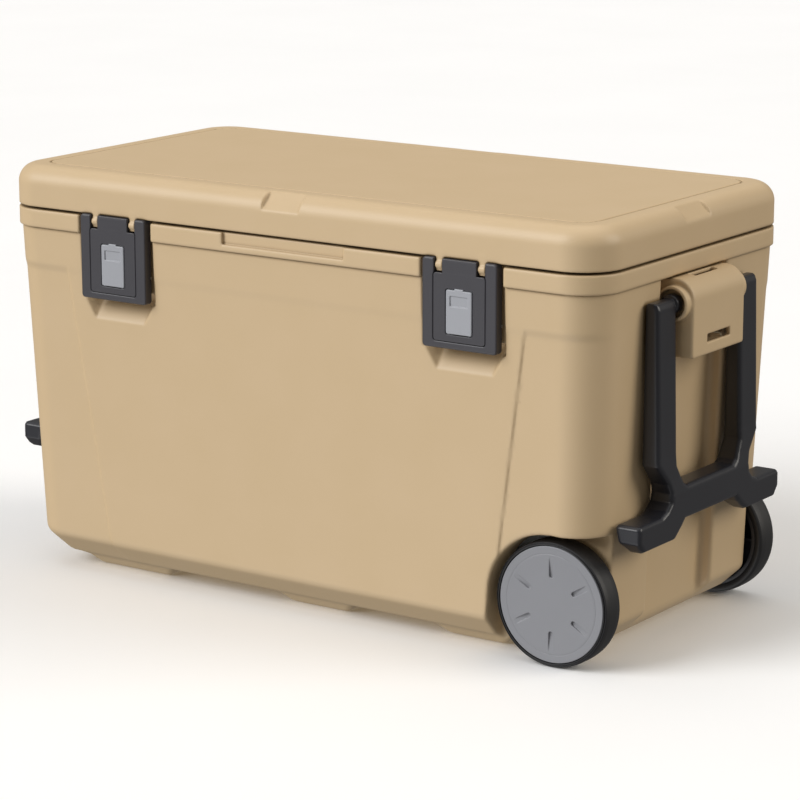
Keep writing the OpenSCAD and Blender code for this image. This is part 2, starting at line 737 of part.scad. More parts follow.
at_latch(-1) latch_claw();  // latch_claw_left
at_latch(1) latch_claw();  // latch_claw_right
at_latch(-1) claw_pin();  // claw_pin_left
at_latch(1) claw_pin();  // claw_pin_right
latch_strikes();
strike_screws();
drain_plug();
drain_seal();
drain_bushing();
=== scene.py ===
# %% [markdown]
# # A wheeled cooler chest
# The chest is a big hollow moulding in tan plastic with a lid on top, two buckle latches, a bail
# handle at each end and two wheels. The engineering model is loaded first and is never changed. It
# fixes every size. Everything after this cell only adds the looks: the soft edges of a moulding,
# the surface grain, the colours and the light.

import json
import math

import bpy
import numpy as np
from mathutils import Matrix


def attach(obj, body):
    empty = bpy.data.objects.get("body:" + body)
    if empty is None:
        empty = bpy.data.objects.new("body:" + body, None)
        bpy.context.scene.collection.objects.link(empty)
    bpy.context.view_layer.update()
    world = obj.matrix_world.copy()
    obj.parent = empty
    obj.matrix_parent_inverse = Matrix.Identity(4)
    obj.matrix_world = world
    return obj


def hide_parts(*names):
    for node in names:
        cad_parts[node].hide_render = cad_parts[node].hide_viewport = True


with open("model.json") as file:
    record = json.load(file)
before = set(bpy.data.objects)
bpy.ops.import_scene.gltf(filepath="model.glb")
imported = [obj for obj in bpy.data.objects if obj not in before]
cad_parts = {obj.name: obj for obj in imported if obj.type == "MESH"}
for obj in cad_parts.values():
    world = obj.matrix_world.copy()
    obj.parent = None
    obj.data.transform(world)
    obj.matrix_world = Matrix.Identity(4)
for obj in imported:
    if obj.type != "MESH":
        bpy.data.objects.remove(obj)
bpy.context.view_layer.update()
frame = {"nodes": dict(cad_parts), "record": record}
nodes = frame["nodes"]
print("pieces in the frame:", len(nodes))

# %% [markdown]
# ## Camera, light and floor
# The chest is seen from a little above, past its front right corner. A long lens from far away
# keeps its edges nearly parallel. Four suns with very wide discs give the soft shading of a studio:
# a key light from the left of the front, a weak one from below that stands for light thrown back by
# the floor, a warm one on the end with the wheels and one from above. A dim sky fills the rest. A
# sun's light is the same everywhere, so the chest is lit alike however it is turned or opened.

# %% Camera
MM = 0.001
EYE = np.array((1792.17, -2578.70, 918.46)) * MM
AIM = np.array((13.2, 0.0, 191.7)) * MM
scene = bpy.context.scene
lens = bpy.data.cameras.new("camera")
lens.sensor_width = 36.0
lens.lens = 140.36
lens.clip_end = 50.0
camera = bpy.data.objects.new("camera", lens)
camera.location = EYE
back = EYE - AIM
camera.rotation_euler = (math.atan2(math.hypot(back[0], back[1]), back[2]), 0.0,
                         math.atan2(back[1], back[0]) + math.pi / 2)
scene.collection.objects.link(camera)
scene.camera = camera
print("the camera stands", round(float(np.linalg.norm(back)), 2), "m away")


# %% Lights
def wide_sun(name, strength, soft_degrees, place, colour=(1.0, 1.0, 1.0)):
    """A far lamp of even light with a soft edge, shining from a place towards the chest."""
    lamp = bpy.data.lights.new(name, "SUN")
    lamp.color = colour
    lamp.energy = strength
    lamp.angle = math.radians(soft_degrees)
    holder = bpy.data.objects.new(name, lamp)
    holder.location = place
    holder.rotation_euler = (math.atan2(math.hypot(place[0], place[1]), place[2]), 0.0,
                             math.atan2(place[1], place[0]) + math.pi / 2)
    scene.collection.objects.link(holder)
    return holder


wide_sun("key_light", 2.3, 40.0, (-1.9, -2.75, 2.1))
wide_sun("floor_bounce", 0.85, 60.0, (-0.8, -2.2, -2.0))
wide_sun("end_light", 1.4, 36.0, (2.6, 1.35, 1.4), (1.0, 0.95, 0.87))
wide_sun("top_light", 0.9, 80.0, (-0.2, 0.5, 3.0))

sky = bpy.data.worlds.new("studio")
sky.use_nodes = True
sky.node_tree.nodes["Background"].inputs["Color"].default_value = (1.0, 0.97, 0.93, 1.0)
sky.node_tree.nodes["Background"].inputs["Strength"].default_value = 0.20
scene.world = sky
scene.view_settings.view_transform = "Standard"


# %% [markdown]
# ## Materials
# Every colour is given as the hex value that a paint or plastic maker would quote, and one function
# turns it into the linear values that the renderer works with. One more function adds a node to a
# material with its settings and its links, so that each recipe reads from top to bottom.
#
# Plastic gets small pits from its mould and slow clouds in its pigment. Where a colour for crevice shade
# is given, the plastic also turns darker in gaps narrower than a few millimetres. This is painted shade
# and stands for the little light that comes in there. That depends on how near other surfaces are, not
# on the viewer.

# %% Colour and node helpers
PLASTIC_IOR = 1.5
# Painted shade: nearby surfaces within this many millimetres darken the plastic's colour.
SHADE_REACH_MM = 4.0


def linear(hex_colour):
    """An sRGB hex colour as linear red, green, blue and alpha."""
    parts = [int(hex_colour[i:i + 2], 16) / 255 for i in (1, 3, 5)]
    return [p / 12.92 if p <= 0.04045 else ((p + 0.055) / 1.055) ** 2.4 for p in parts] + [1.0]


def add(tree, kind, settings=None, **links):
    """Adds a node. Settings are its own properties or, with a number or colour, its inputs."""
    made = tree.nodes.new(kind)
    for key, value in (settings or {}).items():
        if hasattr(made, key):
            setattr(made, key, value)
        else:
            made.inputs[key].default_value = value
    for key, source in links.items():
        tree.links.new(source, made.inputs[key.replace("_", " ")])
    return made


def ramp(tree, source, stops):
    """A colour ramp through the given (position, hex colour) stops."""
    made = add(tree, "ShaderNodeValToRGB", {}, Fac=source)
    band = made.color_ramp
    while len(band.elements) < len(stops):
        band.elements.new(0.5)
    for element, (place, colour) in zip(band.elements, stops):
        element.position = place
        element.color = linear(colour)
    return made.outputs["Color"]


def moulded_plastic(name, light, dark, rough, grain_mm, grain_depth, cloud_mm=60.0,
                    crevice_shade=None):
    """Plastic from a grained mould: small pits in the surface and slow clouds in the pigment."""
    made = bpy.data.materials.new(name)
    made.use_nodes = True
    tree = made.node_tree
    shader = tree.nodes["Principled BSDF"]
    place = add(tree, "ShaderNodeTexCoord").outputs["Object"]
    cloud = add(tree, "ShaderNodeTexNoise", {"Scale": 1 / (cloud_mm * MM), "Detail": 3.0},
                Vector=place)
    pigment = ramp(tree, cloud.outputs["Fac"], [(0.3, dark), (0.7, light)])
    # Painted shade: an ambient occlusion node mixes the colour towards the crevice shade colour in
    # narrow gaps. Depth is how much of that painted shade is mixed in.
    if crevice_shade:
        gap_shade = add(tree, "ShaderNodeAmbientOcclusion",
                   {"samples": 8, "Distance": SHADE_REACH_MM * MM})
        depth = add(tree, "ShaderNodeMapRange", {"From Min": 0.4, "From Max": 0.92},
                    Value=gap_shade.outputs["AO"])
        pigment = add(tree, "ShaderNodeMixRGB", {"Color1": linear(crevice_shade)},
                      Fac=depth.outputs["Result"], Color2=pigment).outputs["Color"]
    tree.links.new(pigment, shader.inputs["Base Color"])
    grain = add(tree, "ShaderNodeTexNoise", {"Scale": 1 / (grain_mm * MM), "Detail": 2.0},
                Vector=place)
    spread = add(tree, "ShaderNodeMapRange", {"To Min": rough - 0.05, "To Max": rough + 0.05},
                 Value=grain.outputs["Fac"])
    tree.links.new(spread.outputs["Result"], shader.inputs["Roughness"])
    pits = add(tree, "ShaderNodeBump", {"Strength": 0.5, "Distance": grain_depth * MM},
               Height=grain.outputs["Fac"])
    tree.links.new(pits.outputs["Normal"], shader.inputs["Normal"])
    shader.inputs["IOR"].default_value = PLASTIC_IOR
    return made


# %% [markdown]
# Polypropylene and polyethylene shells are moulded against a lightly etched tool, so they take a
# grain about a millimetre across that breaks up the highlight. The white tub is smooth so that it
# wipes clean. The latches and handles are glass-filled nylon: dark, with a satin sheen.

# %% Plastics
# The tan shell carries painted shade: its crevice colour darkens it in narrow gaps, where little light
# gets in.
shell_tan = moulded_plastic("etched_polypropylene_tan", "#D3B993", "#D1B790", 0.45, 1.3, 0.05,
                            crevice_shade="#7C6441")
tub_white = moulded_plastic("smooth_polypropylene_white", "#EAEAE6", "#E8E8E4", 0.32, 3.0, 0.02)
foam_yellow = moulded_plastic("polyurethane_foam", "#EADFA8", "#DDCF94", 0.85, 1.2, 0.3, 12.0)
nylon_black = moulded_plastic("satin_nylon_black", "#26272D", "#24252B", 0.34, 0.9, 0.035)
nylon_charcoal = moulded_plastic("satin_nylon_charcoal", "#434247", "#414045", 0.42, 0.8, 0.03)
abs_light_gray = moulded_plastic("satin_abs_light_gray", "#A7A9AF", "#A4A6AC", 0.38, 0.8, 0.02)
abs_mid_gray = moulded_plastic("satin_abs_mid_gray", "#8D8E93", "#8A8B90", 0.40, 0.9, 0.025)
tyre_rubber = moulded_plastic("moulded_rubber", "#1C1C1F", "#18181A", 0.52, 1.2, 0.05)
seal_rubber = moulded_plastic("soft_seal_rubber", "#232325", "#1D1D1F", 0.7, 1.0, 0.03)
print("plastics and rubbers:", [m.name for m in bpy.data.materials])


# %% [markdown]
# The pins, screws and springs are plain zinc-plated steel. A metal keeps the default index of
# refraction. Fine noise in colour and roughness stands for the uneven plating. Its spots are 0.4 mm
# across, coarser than real ones, so that they can be seen.

# %% Steel
def plated_metal(name, light, dark, spot_mm):
    """Bare plated metal with a finely uneven colour and sheen."""
    made = bpy.data.materials.new(name)
    made.use_nodes = True
    tree = made.node_tree
    shader = tree.nodes["Principled BSDF"]
    place = add(tree, "ShaderNodeTexCoord").outputs["Object"]
    spots = add(tree, "ShaderNodeTexNoise", {"Scale": 1 / (spot_mm * MM), "Detail": 3.0},
                Vector=place)
    tree.links.new(ramp(tree, spots.outputs["Fac"], [(0.35, dark), (0.65, light)]),
                   shader.inputs["Base Color"])
    spread = add(tree, "ShaderNodeMapRange", {"To Min": 0.24, "To Max": 0.4},
                 Value=spots.outputs["Fac"])
    tree.links.new(spread.outputs["Result"], shader.inputs["Roughness"])
    shader.inputs["Metallic"].default_value = 1.0
    return made


plated_steel = plated_metal("zinc_plated_steel", "#C9CCCF", "#A8ABAF", 0.4)

# %% [markdown]
# ## Shapes from distances
# A moulding has no sharp edges: every corner is rolled over because plastic can't fill a sharp one.
# Bevelling such a body edge by edge is fragile, so its shape is described by a distance instead: a
# function says for any point how many millimetres it is outside the plastic, with a minus sign
# inside. Two shapes join with the smaller distance, and a cut takes the larger of one distance and
# the other's negative. A smooth version of each rolls the edge between them by itself.

# %% Distance helpers
def cut_soft(a, b, roll):
    """The larger of two distances, with the edge between them rolled over by about half of roll."""
    close = np.clip(roll - np.abs(a - b), 0, None) / roll
    return np.maximum(a, b) + close * close * roll / 4


def join_soft(a, b, roll):
    """The smaller of two distances, with the corner between them filled in."""
    return -cut_soft(-a, -b, roll)


def round_corner(a, b, r):
    """Distance to what two walls enclose, with a round edge between them; a and b start r inside."""
    return np.hypot(np.maximum(a, 0), np.maximum(b, 0)) + np.minimum(np.maximum(a, b), 0) - r


def slab(u, v, half_u, half_v, r):
    """Distance to a rectangle with round corners."""
    return round_corner(np.abs(u) - half_u + r, np.abs(v) - half_v + r, r)


def outline(u, v, corners):
    """Distance to a closed outline of straight lines."""
    best = np.full(u.shape, 1e9, np.float32)
    inside = np.zeros(u.shape, bool)
    for (u0, v0), (u1, v1) in zip(corners, corners[1:] + corners[:1]):
        du, dv = u1 - u0, v1 - v0
        along = np.clip(((u - u0) * du + (v - v0) * dv) / (du * du + dv * dv), 0, 1)
        best = np.minimum(best, np.hypot(u - u0 - along * du, v - v0 - along * dv))
        crossing = (v0 > v) != (v1 > v)
        side = du * (v - v0) / (dv if dv else 1e-9) + u0
        inside ^= crossing & (u < side)
    return np.where(inside, -best, best)


def fade(x):
    """Runs smoothly from 0 to 1 while x runs from -1 to 1."""
    t = np.clip(x * 0.5 + 0.5, 0, 1)
    return t * t * (3 - 2 * t)


# %% [markdown]
# The distance is sampled on a grid. Wherever its sign changes there is surface, and each such grid
# cell gets one corner of the mesh. The corners are then slid along the slope of the distance until
# they lie on the surface exactly, which keeps flat walls flat and highlights calm. Only the blocks
# of the grid that lie near the surface are sampled, to save time. The three biggest pieces are then
# thinned out: a flat wall needs far fewer faces than the grid gives it, and a rolled edge keeps its
# own.

# %% From distance to mesh
BLOCK = 8
COARSE = 1.0


def sample(shape, axes):
    """Distances at all grid points; far from the surface only their sign is right."""
    counts = [len(a) for a in axes]
    step = axes[0][1] - axes[0][0]
    middles = [a[0] + step * (BLOCK * np.arange(-(-len(a) // BLOCK)) + (BLOCK - 1) / 2) for a in axes]
    rough = shape(*np.meshgrid(*middles, indexing="ij"))
    reach = step * (BLOCK * math.sqrt(3) / 2 + 2) * 1.25
    field = np.where(rough < 0, np.float32(-9), np.float32(9))
    for axis, count in enumerate(counts):
        field = np.repeat(field, BLOCK, axis).take(range(count), axis)
    inner = np.stack(np.meshgrid(*[np.arange(BLOCK)] * 3, indexing="ij"), -1).reshape(-1, 3)
    spots = (np.argwhere(np.abs(rough) < reach)[:, None, :] * BLOCK + inner).reshape(-1, 3)
    spots = spots[(spots < counts).all(1)]
    for part in np.array_split(spots, max(1, len(spots) // 1000000)):
        i, j, k = part.T
        field[i, j, k] = shape(axes[0][i], axes[1][j], axes[2][k])
    return field


def surface(shape, low, high, step):
    """Corners in millimetres and four-sided faces of the surface inside a box."""
    axes = [np.arange(a, b + step, step, dtype=np.float32) for a, b in zip(low, high)]
    field = sample(shape, axes)
    solid = field < 0
    cells = tuple(n - 1 for n in field.shape)
    corner_steps = [(a, b, c) for a in (0, 1) for b in (0, 1) for c in (0, 1)]
    filled = sum(solid[a:a + cells[0], b:b + cells[1], c:c + cells[2]].astype(np.int8)
                 for a, b, c in corner_steps)
    spots = np.argwhere((filled > 0) & (filled < 8))
    total = np.zeros((len(spots), 3), np.float32)
    hits = np.zeros(len(spots), np.float32)
    for start in corner_steps:
        for axis in range(3):
            if start[axis]:
                continue
            end = list(start)
            end[axis] = 1
            a = field[tuple((spots + start).T)]
            b = field[tuple((spots + end).T)]
            crossed = (a < 0) != (b < 0)
            part = np.where(crossed, a / np.where(crossed, a - b, 1), 0)
            point = np.array(start, np.float32) + part[:, None] * np.eye(3, dtype=np.float32)[axis]
            total += np.where(crossed[:, None], point, 0)
            hits += crossed
    points = (spots + total / hits[:, None]) * step + np.array([a[0] for a in axes])
    number = np.full(cells, -1, np.int32)
    number[tuple(spots.T)] = np.arange(len(spots))
    faces = []
    for axis in range(3):
        u, v = (axis + 1) % 3, (axis + 2) % 3
        near = [slice(1, -1)] * 3
        near[axis] = slice(0, -1)
        off = [slice(1, -1)] * 3
        off[axis] = slice(1, None)
        before, after = solid[tuple(near)], solid[tuple(off)]
        found = np.argwhere(before != after)
        found_solid = before[tuple(found.T)]
        found[:, u] += 1
        found[:, v] += 1
        ring = []
        for du, dv in ((-1, -1), (0, -1), (0, 0), (-1, 0)):
            cell = found.copy()
            cell[:, u] += du
            cell[:, v] += dv
            ring.append(number[tuple(cell.T)])
        ring = np.stack(ring, 1)
        ring[~found_solid] = ring[~found_solid][:, ::-1]
        faces.append(ring)
    return slide(shape, points, step), np.concatenate(faces)


def slide(shape, points, step, nudge=0.2):
    """Moves points down the slope of the distance until they lie on the surface."""
    for _ in range(3):
        here = shape(*points.T)
        slope = np.stack([shape(*(points + nudge * np.eye(3)[axis]).T) - here
                          for axis in range(3)], 1) / nudge
        move = slope * (here / np.maximum((slope * slope).sum(1), 0.2))[:, None]
        size = np.linalg.norm(move, axis=1, keepdims=True)
        points = points - move * np.minimum(1, step / np.maximum(size, 1e-6))
    return points


def new_piece(name, points, faces, body, slot, finish, *stands_for):
    """A mesh object in metres from corners in millimetres, riding on a body of the frame."""
    mesh = bpy.data.meshes.new(name)
    mesh.from_pydata(np.asarray(points, float) * MM, [], np.asarray(faces).tolist())
    mesh.shade_smooth()
    mesh.materials.append(finish)
    piece = bpy.data.objects.new(name, mesh)
    scene.collection.objects.link(piece)
    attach(piece, body)
    if stands_for:
        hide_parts(*stands_for)
    print(f"{name}: {len(mesh.vertices)} corners, {len(mesh.polygons)} faces")
    return piece


def thin_out(piece, keep):
    """Merges small faces where the surface is flat, until the given share of the faces is left."""
    fewer = piece.modifiers.new("fewer_faces", "DECIMATE")
    fewer.ratio = keep
    thinned = piece.evaluated_get(bpy.context.evaluated_depsgraph_get())
    lighter = bpy.data.meshes.new_from_object(thinned)
    heavy = piece.data
    piece.modifiers.clear()
    piece.data = lighter
    bpy.data.meshes.remove(heavy)
    print(f"{piece.name}: {len(lighter.polygons)} faces are left")


def mould(name, shape, low, high, step, body, slot, finish, *stands_for, keep=None):
    """Meshes a distance function inside a box and adds it as a piece."""
    points, faces = surface(shape, low, high, step * COARSE)
    piece = new_piece(name, points, faces, body, slot, finish, *stands_for)
    if keep:
        thin_out(piece, keep)
    return piece


# %% [markdown]
# ## The box
# The outer box leans in by two degrees so that it leaves its mould, and its lower edge is cut off at
# a slant. Into it are pressed the two wheel wells, the upright channel in each end, the pockets of
# the latches with their finger scoops, and the notches of the hinges at the back. The front has a
# middle panel with slanted creases at its sides and a soft step under the latches. The piece also
# takes the place of the foam behind the wall, which nobody sees.

# %% Sizes of the box, millimetres
LONG, WIDE = 360.0, 185.0
LEAN = 0.0343
BAND_LOW, BAND_TOP = 366.0, 385.0
LATCH_X = 210.0
POCKET_HALF, POCKET_Y, SCOOP_Y = 46.5, 173.0, 161.0
HINGE_Y = 177.3
TUB_X, TUB_Y, TUB_R, TUB_LOW = 309.0, 138.0, 35.0, 46.0
WHEEL_X, WHEEL_Z = 301.0, 62.0
WELL_Y, WELL_R, WELL_TOP = 134.0, 68.5, 130.5


def wall_x(z):
    return LONG - 3 - (BAND_LOW - z) * LEAN


def wall_y(z):
    return WIDE - 3 - (BAND_LOW - z) * LEAN


def front_relief(x, z):
    """How deep the front lies under its widest outline: a soft step, then slanted side creases."""
    beyond_crease = fade((np.abs(x) - 235 - (z - 37) * 0.148) / 0.9)
    below_step = fade((325 - z) / 5)
    return below_step * (0.7 + 1.6 * beyond_crease * fade((352 - np.abs(x)) / 30))


def latch_recess(x, y, z):
    """Pocket behind a latch, with three slanted facets below it for the fingers."""
    u = np.abs(np.abs(x) - LATCH_X)
    pocket = cut_soft(cut_soft(u - POCKET_HALF, POCKET_Y + y, 2.5), 299 - z, 2.5)
    depth = wall_y(z) + y
    side_line = (POCKET_HALF - u) * 0.846 - (301 - z) * 0.533
    facets = np.maximum((depth - 1.5 * side_line) / 1.8, (depth - 0.77 * (z - 277.5)) / 1.26)
    facets = np.maximum(facets, u - POCKET_HALF)
    scoop = cut_soft(cut_soft(facets, SCOOP_Y + y, 1.5), z - 310, 1.0)
    return join_soft(pocket, scoop, 1.0)


def box_shape(x, y, z):
    """The outer box with everything that is pressed into it, hollow where the tub stands."""
    ay = np.abs(y)
    outer = slab(x, y, wall_x(z), wall_y(z) - front_relief(x, z), 41.0)
    slant = (outer + 37 - z) * 0.7071
    body = cut_soft(cut_soft(outer, slant, 4), 13 - z, 4)
    for middle, half in ((-238, 46), (3, 35), (193, 33)):
        sides = cut_soft((np.abs(x - middle) - half - z * 0.93) * 0.73, (ay - 128 - z * 0.93) * 0.73, 4)
        runner = np.maximum(cut_soft(sides, -z, 3), z - 28)
        body = join_soft(body, runner, 4)
    arch = np.hypot(x - WHEEL_X, z - WHEEL_Z) - WELL_R
    arch = join_soft(arch, cut_soft(WHEEL_X - x, z - WELL_TOP, 1), 1.5)
    arch = join_soft(arch, cut_soft(WHEEL_X - WELL_R - x - (WHEEL_Z - z) * 0.1, z - WHEEL_Z, 1), 1.5)
    body = cut_soft(body, -cut_soft(arch, WELL_Y - ay, 6), 3.2)
    channel = cut_soft(ay - 63, wall_x(z) - 13.5 - np.abs(x), 7)
    body = cut_soft(body, -channel, 5)
    body = cut_soft(body, -latch_recess(x, y, z), 1.4)
    beside_hinge = np.abs(np.abs(x) - LATCH_X) - POCKET_HALF
    hinge_notch = cut_soft(cut_soft(beside_hinge, HINGE_Y - y, 1.5), 327 - z, 2)
    body = cut_soft(body, -hinge_notch, 1.5)
    hollow = np.maximum(slab(x, y, TUB_X, TUB_Y, TUB_R), TUB_LOW - z)
    return np.maximum(cut_soft(body, z - 367.5, 1), -hollow)


# %% Box surface
mould("box_skin", box_shape, (-366, -190, -4), (366, 190, 371), 2.0, "chest", "shell_plastic",
      shell_tan, "body_shell", "foam_core", keep=0.4)

# %% [markdown]
# ## The rim band
# A separate band closes the top of the box. It stands three millimetres proud of the wall, is cut
# away behind the latches and the hinges, and has a long shallow groove in the middle of its front,
# where the fingers go to lift the lid.

# %% Rim band
OPEN_X, OPEN_Y, OPEN_R = 302.0, 131.0, 30.0
CORNER_R = 44.0


def rim_shape(x, y, z):
    """The band round the top, open in the middle, with its cuts and its finger groove."""
    band = slab(x, y, LONG, WIDE, CORNER_R)
    band = cut_soft(band, np.abs(z - (BAND_LOW + BAND_TOP) / 2) - (BAND_TOP - BAND_LOW) / 2, 1.8)
    band = cut_soft(band, -slab(x, y, OPEN_X, OPEN_Y, OPEN_R), 5.0)
    u = np.abs(np.abs(x) - LATCH_X) - POCKET_HALF
    band = cut_soft(band, -cut_soft(u, POCKET_Y + y, 1.5), 1.8)
    band = cut_soft(band, -cut_soft(u, HINGE_Y - y, 1.5), 1.8)
    groove = cut_soft(cut_soft(np.abs(x - 0.5) - 73.5, 181.6 + y, 0.8), 373 - z, 0.8)
    return cut_soft(band, -groove, 0.9)


mould("rim_band", rim_shape, (-363, -188, 363), (363, 188, 387), 1.5, "chest", "shell_plastic",
      shell_tan, "rim_frame", keep=0.4)

# %% [markdown]
# ## The lid
# The lid's cover is a shallow tray turned upside down: upright sides, a generous roll into the top,
# a flat panel outlined by a narrow groove, and a flat thumb scoop cut across the roll in the middle
# of each side. Small tabs hang from its lower edge and take the hinge and latch pins.

# %% Lid cover
LID_LOW, LID_TOP, LID_ROLL = 387.5, 429.0, 19.0
CREASE_WIDE, CREASE_DEEP = 1.8, 1.8
TAB_X, TAB_W = 24.0, 8.5
KNUCKLE_Y, KNUCKLE_Z = 183.3, 380.5


def lid_shape(x, y, z):
    """The tray with its groove and scoops, hollow below, and the eight tabs."""
    ax, ay = np.abs(x), np.abs(y)
    side = slab(x, y, LONG, WIDE, CORNER_R) + LID_ROLL
    top = z - LID_TOP + LID_ROLL
    cover = round_corner(side, top, LID_ROLL)
    crease = np.abs(slab(x, y, 330, 154, 21)) - CREASE_WIDE / 2
    cover = cut_soft(cover, -np.maximum(crease, LID_TOP - CREASE_DEEP - z), 0.3)
    front_scoop = cut_soft(np.abs(x + 1.5) - 22 - (ay + z - 597) * 0.12, (597 - ay - z) * 0.7071, 0.8)
    end_scoop = cut_soft(np.abs(y) - 24 - (ax + z - 774) * 0.12, (774 - ax - z) * 0.7071, 0.8)
    cover = cut_soft(cover, -front_scoop, 0.9)
    cover = cut_soft(cover, -end_scoop, 0.9)
    cover = cut_soft(cover, LID_LOW - z, 1.2)
    cover = cut_soft(cover, -np.maximum(slab(x, y, LONG - 3.7, WIDE - 3.7, 40.4), z - 391), 0.6)
    u = np.abs(np.abs(np.abs(x) - LATCH_X) - TAB_X) - TAB_W / 2
    eye = np.hypot(ay - KNUCKLE_Y, z - KNUCKLE_Z) - 4
    stem = np.maximum(np.abs(ay - 182.1) - 2.9, np.abs(z - 384) - 10.5)
    tab = cut_soft(join_soft(eye, stem, 1.5), u, 1.2)
    return join_soft(cover, tab, 0.8)


mould("lid_cover", lid_shape, (-363, -190, 374), (363, 190, 432), 1.5, "lid", "shell_plastic",
      shell_tan, "lid_shell", keep=0.4)

# %% [markdown]
# ## Handles
# Each bail handle is one black moulding shaped like an H: two legs that hang on pins in the handle
# mount, a cross bar for the hand, and an ear at each side that a foot can push against. Its front
# is seen as an outline in one direction and its leg as an outline in another. The piece is what
# both outlines share, with every edge rolled.

# %% Handle
PIVOT_X, PIVOT_Z = 364.5, 342.0


def handle_shape(x, y, z):
    """Half of the H counts for both legs, because the shape depends on the size of y alone."""
    ay = np.abs(y)
    front = outline(ay, z, [
        (62, 349.5), (62, 188), (52, 170), (46, 166), (-20, 166), (-20, 133), (50, 133),
        (56, 127), (72, 114.6), (128, 114.6), (138, 126), (138, 140), (135, 143), (94, 143),
        (84, 147), (77, 154), (76, 162), (80, 172), (97.5, 192), (97.5, 349.5)])
    leg = outline(x, z, [
        (PIVOT_X - 6.5, 347), (PIVOT_X - 4, 349.3), (PIVOT_X + 3.5, 349.5), (PIVOT_X + 6.3, 347),
        (PIVOT_X + 8.2, 342), (PIVOT_X + 12, 200), (PIVOT_X + 14, 176), (PIVOT_X + 16.5, 160),
        (PIVOT_X + 16.5, 118), (PIVOT_X + 12, 114), (PIVOT_X, 114), (PIVOT_X - 8, 124),
        (PIVOT_X - 11.5, 139), (PIVOT_X - 9, 166), (PIVOT_X - 7.5, 200)])
    bail = cut_soft(front, leg, 5.0)
    hub = cut_soft(np.hypot(x - PIVOT_X, z - PIVOT_Z) - 9.5, np.abs(ay - 57.6) - 5.4, 1.5)
    bail = join_soft(bail, hub, 1.0)
    bore = cut_soft(np.hypot(x - PIVOT_X, z - PIVOT_Z) - 5.05, ay - 86, 0.5)
    return cut_soft(bail, -bore, 0.5)


def other_end(shape):
    """The same shape at the other end of the chest."""
    return lambda x, y, z: shape(-x, y, z)


for side, turned in (("right", handle_shape), ("left", other_end(handle_shape))):
    ends = (348, 386) if side == "right" else (-386, -348)
    mould("bail_" + side, turned, (ends[0], -141, 110), (ends[1], 141, 353), 1.25, "handle_" + side,
          "black_plastic", nylon_black, "handle_" + side)

# %% [markdown]
# ## Handle mounts
# A tan block screwed into the top of each end channel carries the handle's pins. Its top rolls back
# into the rim, a strap slot goes through its face and another through its top, and a round collar
# on each side guards the pin.

# %% Handle mount
MOUNT_X, MOUNT_LOW, MOUNT_HALF = 384.0, 289.0, 50.0
MOUNT_TOP, MOUNT_ROLL, COLLAR_R = 365, 20, 17


def mount_shape(x, y, z):
    """A hollow block with a rolled top, its two collars and its two strap slots."""
    ay = np.abs(y)

    def block(t):
        """The block with its walls moved in by t."""
        front = x - MOUNT_X + t + MOUNT_ROLL
        top = z - MOUNT_TOP + t + MOUNT_ROLL
        return np.maximum(round_corner(front, top, MOUNT_ROLL), 344.2 + t - x)

    outer = cut_soft(cut_soft(block(0), MOUNT_LOW - z, 3), ay - MOUNT_HALF, 3)
    collar = cut_soft(np.hypot(x - PIVOT_X, z - PIVOT_Z) - COLLAR_R, np.abs(ay - 45) - 14, 2)
    outer = join_soft(outer, collar, 2)
    hollow = np.maximum(block(3.5), ay - MOUNT_HALF + 4)
    outer = cut_soft(outer, -hollow, 1)
    outer = cut_soft(outer, -np.maximum(np.hypot(x - PIVOT_X, z - PIVOT_Z) - 14.0, 51.5 - ay), 0.8)
    face_slot = np.maximum(slab(y, z - 305, 22, 4, 1), 370 - x)
    top_slot = np.maximum(slab(x - 365, y, 3.8, 22, 1), 350 - z)
    return cut_soft(outer, -join_soft(face_slot, top_slot, 0.5), 1.2)


for side, turned in (("right", mount_shape), ("left", other_end(mount_shape))):
    ends = (341, 388) if side == "right" else (-388, -341)
    mould("mount_block_" + side, turned, (ends[0], -61, 286), (ends[1], 61, 368), 1.0, "chest",
          "shell_plastic", shell_tan, "handle_mount_" + side)

# %% [markdown]
# ## Latches
# A latch is a charcoal frame that hangs on the lid by a long pin. A front plate lies flush in it,
# and a grey lock button fills the plate's window. The frame's lower end stands clear of the box so
# that fingers can reach behind it.

# %% Latch parts
LATCH_HALF, LATCH_FACE = 42.0, 188.3
PLATE_HALF = 29.2
WINDOW_Z = 337.1


def plate_outline(u, z, grow=0.0):
    """Outline of the front plate: a wide lower part and a narrower tongue up to the knuckles."""
    lower = slab(u, z - 340.9, PLATE_HALF + grow, 32.6 + grow, 3.0)
    tongue = slab(u, z - 370, 19.2 + grow, 17 + grow, 0.6)
    return np.minimum(lower, tongue)


def frame_shape(u, y, z):
    """The frame, with a seat for the plate, a hollow back and slots for the lid's tabs."""
    front = y + LATCH_FACE
    body = cut_soft(slab(u, z - 344.2, LATCH_HALF, 43.2, 4.0), np.abs(front - 5.5) - 5.5, 2.2)
    body = cut_soft(body, -cut_soft(plate_outline(u, z, 0.45), front - 3, 0.4), 0.7)
    body = cut_soft(body, -np.maximum(slab(u, z - 342, 26, 30, 2), front - 9), 0.8)
    slots = np.maximum(np.abs(np.abs(u) - TAB_X) - TAB_W / 2 - 0.5, 371.5 - z)
    body = cut_soft(body, -slots, 1.0)
    head = np.maximum(np.abs(u) - 19.8, 373 - z)
    return cut_soft(body, -head, 0.8)


def plate_shape(u, y, z):
    """The plate, with a thick head at the pin and a window for the button."""
    front = y + LATCH_FACE
    plate = cut_soft(plate_outline(u, z), np.abs(front - 1.15) - 1.15, 0.8)
    head = cut_soft(slab(front - 5.5, z - 379.6, 5.5, 7.5, 3.0), np.abs(u) - 19.2, 1.0)
    plate = join_soft(plate, head, 0.6)
    window = slab(u, z - WINDOW_Z, 15.4, 22.0, 2.4)
    return cut_soft(plate, -window, 0.7)


